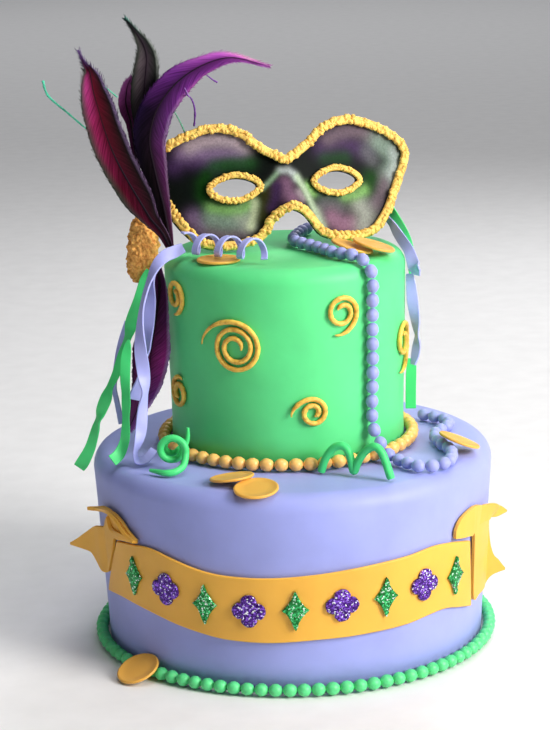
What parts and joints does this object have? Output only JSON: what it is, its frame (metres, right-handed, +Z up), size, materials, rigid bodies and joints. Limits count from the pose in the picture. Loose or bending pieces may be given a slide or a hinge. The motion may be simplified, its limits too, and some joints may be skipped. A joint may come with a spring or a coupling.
{
  "type": "decorated tiered cake",
  "caption": "Stacked round celebration cake in lavender and green fondant with beaded borders, piped gold swirls, a wrap-around banner, ribbons, coins and a half mask with plumes on top.",
  "frame": {"origin": "centre of the lower tier's flat underside", "axes": "+Z up, -Y out of the front where the banner and the mask face, +X to the right of someone looking at the front"},
  "size_m": [0.3007, 0.2734, 0.4153],
  "materials": {
    "fondant_green": "smooth satin rolled fondant",
    "fondant_lavender": "smooth satin rolled fondant",
    "fondant_gold": "satin rolled fondant",
    "pearl_gold": "pearly pressed beads",
    "pearl_green": "satin pressed beads",
    "pearl_lavender": "satin pressed beads",
    "piped_gold": "stiff piped icing",
    "gold_crumb": "grainy crumbled icing",
    "coin_gold": "pressed sugar coin, satin",
    "glitter_green": "coarse glitter",
    "glitter_purple": "coarse glitter",
    "mask_airbrushed": "airbrushed sugar paste, satin",
    "feather_burgundy": "thin combed sugar paste",
    "feather_dark": "thin combed sugar paste",
    "feather_purple": "thin combed sugar paste",
    "feather_teal": "thin combed sugar paste",
    "ribbon_green": "thin rolled fondant strip",
    "ribbon_lavender": "thin rolled fondant strip"
  },
  "bodies": {
    "root": {"banner_band": "fondant_gold", "banner_left_tail": "fondant_gold", "banner_right_tail": "fondant_gold", "bead_string": "pearl_lavender", "coin_1": "coin_gold", "coin_2": "coin_gold", "coin_3": "coin_gold", "coin_4": "coin_gold", "coin_5": "coin_gold", "coin_6": "coin_gold", "coin_7": "coin_gold", "feather_burgundy": "feather_burgundy", "feather_dark": "feather_dark", "feather_hanging": "feather_purple", "feather_pink": "feather_purple", "feather_purple": "feather_purple", "feather_wisp": "feather_teal", "gold_mound": "gold_crumb", "green_arches": "ribbon_green", "green_coil": "ribbon_green", "lavender_coil": "ribbon_lavender", "lower_bead_border": "pearl_green", "lower_tier": "fondant_lavender", "mask_edge_piping": "piped_gold", "mask_left_eye_piping": "piped_gold", "mask_right_eye_piping": "piped_gold", "mask_shell": "mask_airbrushed", "motif_lozenge_1": "glitter_green", "motif_lozenge_3": "glitter_green", "motif_lozenge_5": "glitter_green", "motif_lozenge_7": "glitter_green", "motif_lozenge_9": "glitter_green", "motif_quatrefoil_2": "glitter_purple", "motif_quatrefoil_4": "glitter_purple", "motif_quatrefoil_6": "glitter_purple", "motif_quatrefoil_8": "glitter_purple", "ribbon_green_back_right": "ribbon_green", "ribbon_green_long": "ribbon_green", "ribbon_green_low_right": "ribbon_green", "ribbon_green_short": "ribbon_green", "ribbon_lavender_back": "ribbon_lavender", "ribbon_lavender_left": "ribbon_lavender", "ribbon_lavender_right": "ribbon_lavender", "ribbon_lavender_short": "ribbon_lavender", "ribbon_twisted_right": "ribbon_lavender", "swirl_back": "piped_gold", "swirl_back_left": "piped_gold", "swirl_back_right": "piped_gold", "swirl_high_left": "piped_gold", "swirl_high_right": "piped_gold", "swirl_large": "piped_gold", "swirl_low_front": "piped_gold", "swirl_low_left": "piped_gold", "swirl_right": "piped_gold", "upper_bead_border": "pearl_gold", "upper_tier": "fondant_green"}
  },
  "joints": []
}
